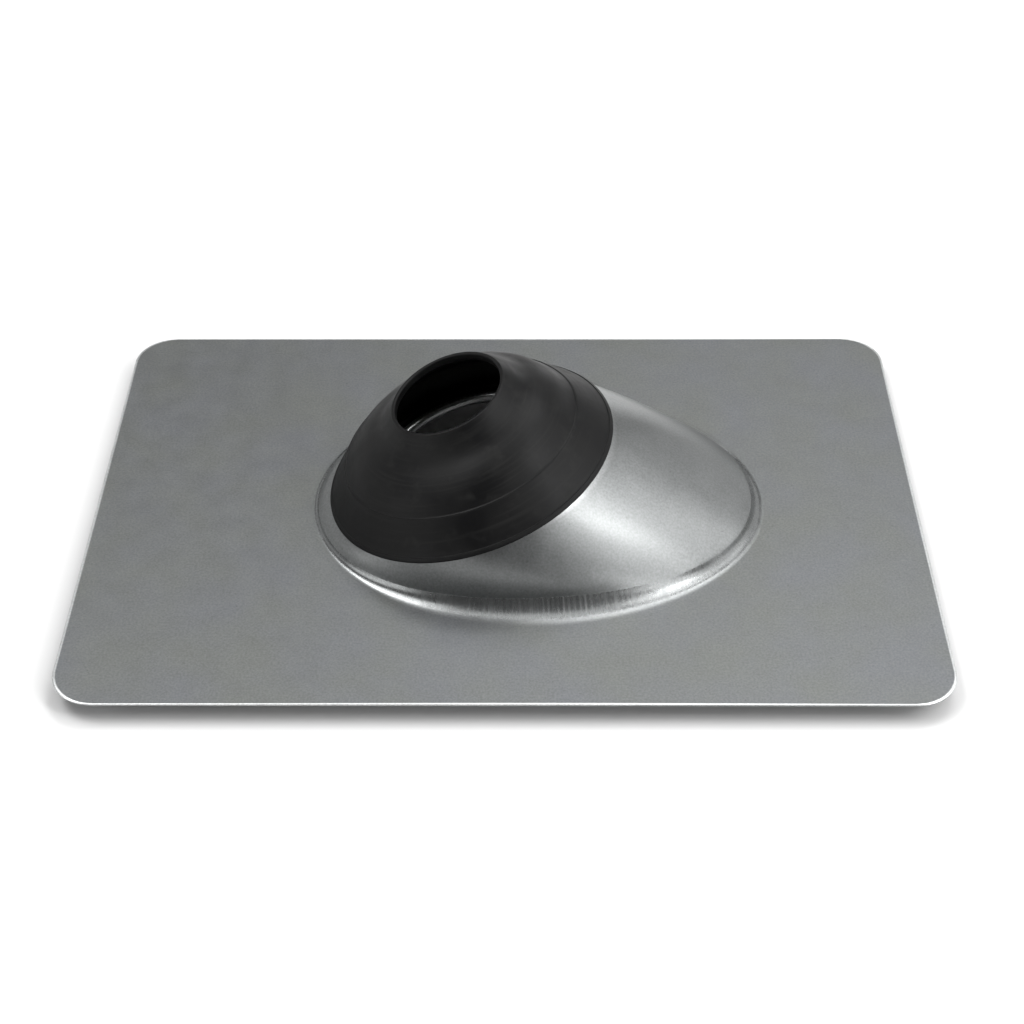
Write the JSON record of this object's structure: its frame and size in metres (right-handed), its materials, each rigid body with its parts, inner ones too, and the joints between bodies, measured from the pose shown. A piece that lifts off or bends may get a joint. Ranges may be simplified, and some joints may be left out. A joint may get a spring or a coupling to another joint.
{
  "type": "pipe flashing boot",
  "caption": "Roof flashing for a vent pipe: a rectangular steel sheet drawn up into an oblique cone, with a moulded rubber collar that leans up the slope and grips the pipe.",
  "frame": {"origin": "middle of the sheet's underside", "axes": "+X down the roof's slope, along the sheet's length; +Y across the slope; +Z away from the roof. The collar leans 17 degrees towards -X"},
  "size_m": [0.3174, 0.216, 0.0597],
  "materials": {
    "galvanised_steel": "galvanised sheet, dull grey on the flat and bright where it is drawn",
    "black_rubber": "satin moulded rubber"
  },
  "bodies": {
    "root": {"flashing_base": "galvanised_steel", "pipe_collar": "black_rubber"}
  },
  "joints": []
}
